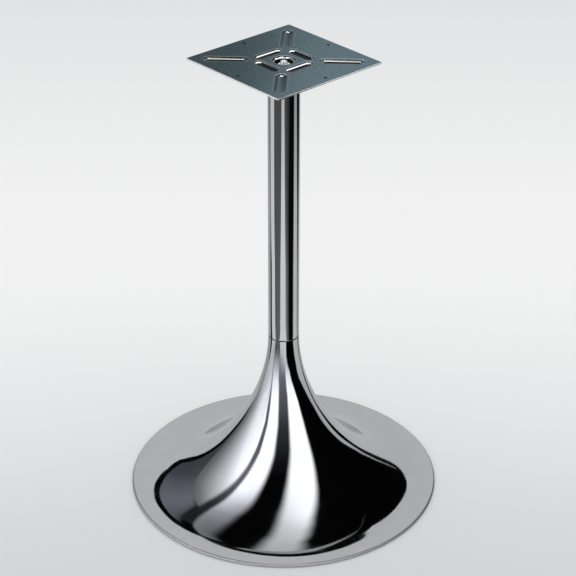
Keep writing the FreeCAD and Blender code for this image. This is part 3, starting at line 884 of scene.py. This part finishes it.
# Cards far out. Each station: bearing, elevation and glow of its one edge, then of its other edge.
# A card with a glow of its own has stations without it. Near is a share of the studio's card distance.
# Softness is a share of the card's width at each edge, first at the first station, then at the last.
farCards = dict(
    backdrop=dict(soft=[(0.004, 0.004)], tint=(0.99, 0.995, 1.02), stations=[
        (-40, -70, 0.47, 52, -70, 0.47), (-40, -30, 0.47, 52, -30, 0.47),
        (-42, -20, 0.52, 47, -20, 0.52), (-53, -12, 0.58, 46, -12, 0.58),
        (-47, -9, 0.6, 41, -9.5, 0.6), (-43, -5, 0.62, 36, -5, 0.62), (-41, 1, 0.64, 33, 0, 0.63),
        (-37, 5, 0.66, 30.8, 5, 0.64), (-31, 9, 0.67, 29.6, 10, 0.64), (-28, 14, 0.68, 28.4, 14.5, 0.64),
        (-26.3, 24, 0.69, 25.9, 24.5, 0.65), (-21.5, 32, 0.7, 23.8, 32.5, 0.67),
        (-17, 36, 0.7, 23.6, 36, 0.67), (-13.5, 38.6, 0.7, 24.5, 40.5, 0.67),
        (-12.3, 41.5, 0.7, 24.8, 45.5, 0.66), (-13, 48, 0.67, 24.8, 51, 0.66)]),
    backdropFlag=dict(glow=0.002, near=0.97, stations=[
        (-13, 47.4, -13, 50), (-7, 46, -7, 50), (-3, 45.6, -3, 50), (0, 43.6, 0, 50), (2, 43.2, 2, 50),
        (6, 45, 6, 51), (10.6, 46.2, 10.6, 52.5), (14, 48.2, 14, 53), (19, 51, 19, 53)]),
    leftScreen=dict(soft=[(0.2, 0.12), (0.2, 0.05)], tint=(0.98, 0.995, 1.03), stations=[
        (-114.5, -12, 0.75, -124, 18, 1.9), (-107, -13, 0.95, -119, 30, 1.9),
        (-100, -14, 1.15, -110, 38.3, 1.9), (-88, -14, 0.85, -98, 43.4, 1.9),
        (-75, -14, 0.5, -81, 47.2, 1.05), (-63, -13, 0.3, -64, 49, 0.48),
        (-55, -11, 0.17, -57, 49.6, 0.28), (-50, -8, 0.11, -51.5, 49.6, 0.21)]),
    leftPanel=dict(soft=[(0.3, 0.02)], near=0.99, tint=(0.93, 0.98, 1.13), stations=[
        (-56, -4, 0.1, -49, -2, 0.08), (-57, 4, 0.08, -46.5, 4, 0.07), (-58, 10, 0.075, -39, 10, 0.065),
        (-58, 15, 0.08, -31, 15, 0.07), (-59, 24, 0.1, -29, 24, 0.085),
        (-60, 32, 0.16, -25.7, 32, 0.15), (-60, 37, 0.2, -21.3, 36.8, 0.19),
        (-59, 41, 0.22, -18.6, 40.1, 0.2), (-57, 44, 0.2, -17.5, 43, 0.15),
        (-56, 46.5, 0.12, -17.5, 45, 0.08)]),
    seamFill=dict(near=1.05, tint=(0.95, 0.98, 1.1), stations=[
        (-108, -22, 0.35, -140, -22, 0.2), (-110, -10, 0.45, -138, -10, 0.45),
        (-114, -2, 0.4, -140, -2, 0.4), (-114, 8, 0.2, -140, 8, 0.2),
        (-114, 18, 0.17, -140, 18, 0.17), (-106, 28, 0.17, -134, 33, 0.17),
        (-98, 36, 0.2, -122, 43, 0.2), (-88, 41, 0.17, -108, 48, 0.17), (-74, 44, 0.07, -88, 52, 0.07),
        (-60, 45, 0.03, -66, 54, 0.03), (-40, 45, 0.02, -46, 54, 0.02), (-22, 45, 0.02, -28, 53, 0.02)]),
    leftSoftbox=dict(soft=[(0.12, 0.06), (0.14, 0.4)], tint=(0.965, 0.99, 1.055), stations=[
        (-122, -42, 0.16, -146, -42, 0.2), (-121, -29, 0.15, -155, -29, 0.22),
        (-113, -24, 0.12, -157, -24, 0.16), (-113, -20, 0.24, -157, -20, 0.2),
        (-115, -16, 0.52, -158, -16, 0.33), (-115, -12, 0.8, -157, -12, 0.5),
        (-118, -9, 0.97, -156, -9, 0.75), (-121, -4, 1.4, -157, -4, 1.3), (-124, 1, 1.6, -161, 1, 1.6),
        (-129, 10, 1.9, -164.7, 11, 1.9), (-130.5, 18.5, 1.9, -167.5, 22, 1.9),
        (-125, 31.8, 1.9, -163.2, 38, 1.9), (-112.5, 40.2, 1.9, -152.5, 49.5, 1.8),
        (-99, 46, 1.9, -138.5, 59, 1.2), (-82, 50.6, 1.2, -117, 67, 0.42),
        (-62, 52, 0.55, -87, 69, 0.34), (-44, 52, 0.36, -52, 67, 0.22), (-25, 50, 0.32, -21, 57, 0.12),
        (-15, 48.5, 0.3, -13, 53, 0.1)]),
    rightSoftbox=dict(soft=[(0.08, 0.06), (0.35, 0.35)], stations=[
        (165, -18, 0.5, 161, -18, 0.4), (169, -12, 0.9, 155, -12, 0.8), (171, -9, 1.1, 146, -9, 1.05),
        (171, -4, 1.4, 139, -4, 1.35), (170, 1, 1.6, 128, 1, 1.6), (167.3, 6, 1.9, 120, 6, 1.9),
        (167.5, 17, 1.9, 116, 15, 1.9), (169, 35, 1.9, 114.3, 31, 1.9), (174.5, 46, 1.9, 114.2, 45, 1.9),
        (183, 60, 1.5, 111.5, 58, 1.9), (190, 68, 1.2, 106.5, 65.5, 1.9), (202, 75, 1.0, 97, 70.8, 1.7),
        (252, 83.5, 0.85, 58, 74.8, 1.1), (341.5, 69.5, 0.75, 17.5, 68, 0.75),
        (353, 52, 0.66, 5.5, 53, 0.62)]),
    cameraGap=dict(near=1.03, tint=(0.97, 0.98, 1.12), stations=[
        (-153, -13, 0.31, -197, -13, 0.9), (-152, -9, 0.25, -195, -9, 0.55),
        (-153, -4, 0.22, -195, -4, 0.22), (-156, 3, 0.18, -198, 3, 0.16),
        (-159, 13, 0.12, -200, 13, 0.11), (-162, 22, 0.05, -198, 22, 0.05),
        (-158, 31, 0.03, -197, 31, 0.03), (-154, 40, 0.008, -195, 40, 0.008), (-148, 50, 0, -190, 50, 0)]),
    paleFront=dict(near=1.03, stations=[
        (-136, -42, 0.9, -214, -42, 0.9), (-152, -29, 0.9, -198, -29, 0.9),
        (-154, -24, 0.88, -197, -24, 0.9), (-154, -20, 0.66, -197, -20, 0.98),
        (-154, -16, 0.36, -198, -16, 1.05), (-153, -13, 0.31, -197, -13, 0.9)]),
    paleLeft=dict(soft=[(0.15, 0.1)], near=1.02, stations=[
        (-124, -42, 0.7, -84, -42, 0.9), (-121, -29, 0.66, -84, -29, 0.95),
        (-117, -24, 0.6, -80, -24, 0.88), (-117, -20, 0.66, -74, -20, 0.82),
        (-115, -16, 0.8, -68, -16, 0.7), (-116, -10, 1.0, -64, -10, 0.6),
        (-118, -2, 1.4, -62, -2, 0.45)]),
    leftFill=dict(soft=[(0.05, 0.02)], near=1.04, stations=[
        (-72, -42, 0.5, -38, -42, 0.5), (-70, -29, 0.5, -38, -29, 0.5),
        (-70, -22, 0.4, -38, -22, 0.45), (-76, -12, 0.36, -52, -12, 0.4),
        (-76, -2, 0.3, -52, -2, 0.2)]),
    paleRight=dict(soft=[(0.1, 0.06), (0.3, 0.3)], near=1.02, stations=[
        (112, -42, 0.7, 56, -42, 0.62), (108, -29, 0.7, 56, -29, 0.62),
        (106, -24, 0.71, 56, -24, 0.62), (105, -20, 0.71, 52, -20, 0.62),
        (101, -16, 0.69, 54, -16, 0.62), (101, -12, 0.65, 51, -12, 0.64), (97, -9, 0.6, 49, -9, 0.62),
        (78, -6, 0.5, 48.3, -7.5, 0.6), (67, -3, 0.5, 47, -5.5, 0.6),
        (64.5, 0.5, 0.5, 46.3, -4, 0.6), (58.5, 3.1, 0.55, 44.3, -2, 0.6),
        (50.5, 4.8, 0.58, 41.5, -0.6, 0.6), (45.5, 5, 0.58, 38.8, 0.6, 0.58),
        (41.5, 5.4, 0.52, 36.8, 2.2, 0.52), (36.5, 8.6, 0.45, 34.2, 7.1, 0.45),
        (33, 14.4, 0.38, 31.8, 13.9, 0.38), (28.3, 22.6, 0.3, 27.8, 22.4, 0.3)]),
    topLine=dict(soft=[(0.2, 0.2)], near=0.98, stations=[
        (49, 52, 0.01, 49, 53.2, 0.01), (42, 54.6, 0.03, 42, 55.8, 0.03),
        (28, 55.6, 0.03, 29, 56.5, 0.03), (21.5, 56, 0.26, 23.8, 57.3, 0.26),
        (14, 55.2, 0.34, 17.7, 57.8, 0.34), (8, 52.8, 0.4, 12.4, 57.4, 0.4),
        (5, 51, 0.42, 8.1, 56.4, 0.42), (2.4, 50.5, 0.42, 3.8, 55.8, 0.42),
        (-8, 50, 0.28, -8, 53.5, 0.28)]),
    paleUnder=dict(glow=0.47, soft=[(0.02, 0.001)], near=1.06, stations=[
        (turn, -41, turn, -89.9) for turn in range(0, 361, 30)]))
for name, card in farCards.items():
    stations = np.array(card["stations"], float).reshape(len(card["stations"]), 2, -1)
    glow = np.full(stations.shape[:2], card["glow"]) if "glow" in card else stations[..., 2]
    reach = studio["cardDistance"] * card.get("near", 1.0)
    makeCard(name, card, reach * towards(stations[..., 0], stations[..., 1]), glow,
             card.get("soft", studio["cardSoft"]))


# Cards lying level with the joint and seen from above alone, so only the column mirrors them: its foot sees
# their inner ends and its top their outer ends. Stations follow the reach: bearing and glow of each edge.
# The last station given holds to the end of the reach.
columnCards = dict(height=0.268, radius=0.024, reach=(0.001, 0.24, 0.455, 0.71, 1.07, 1.6, 9.0), strips=dict(
    columnDarkLeft=dict(drop=0.002, soft=(0.01, 0.01), stations=[(-190, 0.004, -1, 0.004)]),
    columnDarkRight=dict(drop=0.002, soft=(0.01, 0.01), stations=[(1, 0.004, 190, 0.004)]),
    columnBackLeft=dict(drop=0.001, soft=(0.02, 0.02), stations=[(-36, 0.55, -1, 0.58)]),
    columnBackRight=dict(drop=0.001, soft=(0.02, 0.02), stations=[(1, 0.6, 36, 0.6)]),
    columnLeftEdge=dict(drop=0.0005, soft=(0.15, 0.02), stations=[
        (-70, 0.45, -34, 0.55), (-68, 0.5, -34, 0.5), (-69, 0.6, -34, 0.4), (-66, 0.4, -34, 0.4),
        (-62, 0.22, -34, 0.42), (-62, 0.2, -34, 0.42)]),
    columnLeftLight=dict(drop=0, soft=(0.12, 0.2), stations=[
        (-121, 0.92, -84, 0.85), (-114, 0.92, -78, 0.85), (-109, 0.9, -68, 0.85),
        (-109, 0.87, -66, 0.8), (-110, 0.85, -64, 0.75)]),
    columnLeftGrey=dict(drop=0.001, soft=(0.04, 0.04), stations=[
        (-152, 0.19, -116, 0.16), (-157, 0.15, -110, 0.13), (-162, 0.13, -104, 0.12),
        (-166, 0.11, -104, 0.11), (-169, 0.1, -105, 0.09)]),
    columnFrontLight=dict(drop=0, soft=(0.12, 0.12), stations=[
        (-205, 0.92, -143, 0.92), (-195, 0.93, -153, 0.93), (-190, 0.93, -158, 0.93),
        (-187, 0.85, -161, 0.85), (-184, 0.68, -163, 0.66), (-183, 0.66, -164, 0.64)]),
    columnRightGrey=dict(drop=0.001, soft=(0.3, 0.02), stations=[
        (136, 0.01, 166, 0.4), (138, 0.01, 170, 0.3), (140, 0.01, 175, 0.2), (136, 0.01, 178, 0.15),
        (130, 0.005, 180, 0.1)]),
    columnRightLight=dict(drop=0, soft=(0.2, 0.2), stations=[
        (58, 0.75, 113, 0.75), (60, 0.72, 110, 0.72), (64, 0.7, 107, 0.7), (70, 0.55, 106, 0.55),
        (77, 0.42, 105, 0.42), (78, 0.4, 104, 0.4)]),
    columnRightEdge=dict(drop=0.0005, soft=(0.02, 0.25), stations=[
        (34, 0.58, 62, 0.45), (34, 0.56, 60, 0.35), (34, 0.5, 56, 0.25), (34, 0.5, 50, 0.15),
        (34, 0.6, 46, 0.1)])))
for name, card in columnCards["strips"].items():
    # A bearing leaves the column where its face turns halfway between that bearing and the camera's.
    missing = len(columnCards["reach"]) - len(card["stations"])
    rows = np.array(card["stations"] + card["stations"][-1:] * missing, float)
    bearing = np.linspace(rows[:, 2], rows[:, 0], studio["acrossSteps"] + 1, axis=1)
    halfway = bearing / 2 + 90 * np.sign(bearing)
    height = columnCards["height"] - card["drop"]
    points = (columnCards["radius"] * towards(halfway, 0 * halfway) + (0, 0, height)
              + np.array(columnCards["reach"])[:, None, None] * towards(bearing, 0 * bearing))
    makeCard(name, card, points, rows[:, [3, 1]], [card["soft"][::-1]], True)


# Cards seen from their upper or inner side alone: one over the flare, which stands for the flare seen in
# itself, a shade under the cup, and wide ones round the plate, which the trumpet sees from behind.
# Each station: bearing, then radius and height of its lower edge and of its upper edge.
sidedCards = dict(
    flareEcho=dict(glow=0.36, soft=(0.01, 0.3), tint=(0.97, 1.0, 1.03), stations=[
        (turn, 0.002, 0.062, 0.235, 0.012) for turn in range(0, 361, 15)]),
    plateShade=dict(glow=0.01, stations=[(turn, 0.001, 0.70, 0.03, 0.70) for turn in range(0, 361, 30)]),
    plateReflector=dict(glow=1.6, stations=[(turn, 0.60, 0.70, 6.0, 4.7) for turn in range(60, 181, 20)]),
    frontReflector=dict(glow=1.5, tint=(1, 0.97, 0.92), stations=[
        (180, 0.60, 0.70, 6.0, 4.7), (190, 0.60, 0.785, 6.0, 4.7), (210, 0.60, 0.913, 6.0, 4.7)]),
    plateGlow=dict(glow=2.6, soft=(0.06, 0.1), stations=[
        (turn, 0.60, 1.115, 6.0, 8.1) for turn in range(-60, 61, 20)]),
    plateFlag=dict(glow=0.0, stations=[(turn, 0.60, 0.735, 6.0, 4.7) for turn in range(-117, -71, 15)]))
for name, card in sidedCards.items():
    rows = np.array(card["stations"], float)
    turn = towards(rows[:, 0], 0 * rows[:, 0])
    edges = [turn * rows[:, [k]] + rows[:, [k + 1]] * (0, 0, 1) for k in (1, 3)]
    glow = np.full((len(rows), 2), card["glow"])
    makeCard(name, card, np.stack(edges, 1), glow, [card.get("soft", (0.001, 0.1))], True)


# Floor: pale, with painted light: brightest behind the object and greyer towards the camera

floorLook = dict(radius=40, sides=96, roughness=0.9, stops=[
    (-0.32, (0.63, 0.66, 0.685)), (0.0, (0.735, 0.755, 0.77)), (0.45, (0.875, 0.88, 0.88)),
    (0.85, (0.90, 0.90, 0.90)), (1.5, (0.83, 0.835, 0.835)), (2.3, (0.72, 0.745, 0.76))])


def buildFloor():
    points = spun(floorLook["radius"], 0, fullTurn(floorLook["sides"]))
    mesh = bpy.data.meshes.new("floor")
    mesh.from_pydata(points.tolist(), [], [list(range(floorLook["sides"]))])
    material, shader, place = startMaterial("paleFloor")
    turn = (0, 0, radians(-view["azimuth"]))
    facing = addNode(place, "Mapping", {"Vector": place, "Rotation": turn}).outputs[0]
    away = axesOf(facing)[1]
    nearest, farthest = floorLook["stops"][0][0], floorLook["stops"][-1][0]
    ramp = addNode(place, "ValToRGB", {0: remap(away, (nearest, farthest))})
    ramp.color_ramp.interpolation = "B_SPLINE"
    while len(ramp.color_ramp.elements) < len(floorLook["stops"]):
        ramp.color_ramp.elements.new(0.5)
    for element, (spot, colour) in zip(ramp.color_ramp.elements, floorLook["stops"]):
        element.position = (spot - nearest) / (farthest - nearest)
        element.color = (*colour, 1)
    feed(shader, "Base Color", ramp.outputs[0])
    shader.inputs["Roughness"].default_value = floorLook["roughness"]
    shader.inputs["Specular IOR Level"].default_value = 0
    # From below the floor is clear, so the underside can be looked at.
    back = addNode(place, "NewGeometry").outputs["Backfacing"]
    clear = addNode(place, "BsdfTransparent").outputs[0]
    mixed = mixShader(back, shader.outputs[0], clear)
    addNode(place, "OutputMaterial", {"Surface": mixed}, is_active_output=True)
    mesh.materials.append(material)
    floor = placeObject("floor", mesh)
    floor.visible_glossy = False


def buildWorld():
    # Even light for all that is matt, a dark room behind the cards for what shines, a pale horizon to see.
    world = bpy.data.worlds.new("studio")
    tree = freshTree(world)
    scene.world = world
    path = addNode(tree, "LightPath").outputs
    even, dark, pale = [
        addNode(tree, "Background", {"Color": (*colour, 1), "Strength": strength}).outputs[0]
        for colour, strength in ((tone(1), studio["evenLight"]), (tone(1), studio["darkRoom"]),
                                 (studio["horizon"], 1.0))]
    mixed = mixShader(path["Is Glossy Ray"], even, dark)
    mixed = mixShader(path["Is Camera Ray"], mixed, pale)
    addNode(tree, "OutputWorld", {"Surface": mixed})


buildFloor()
buildWorld()
print("studio set")
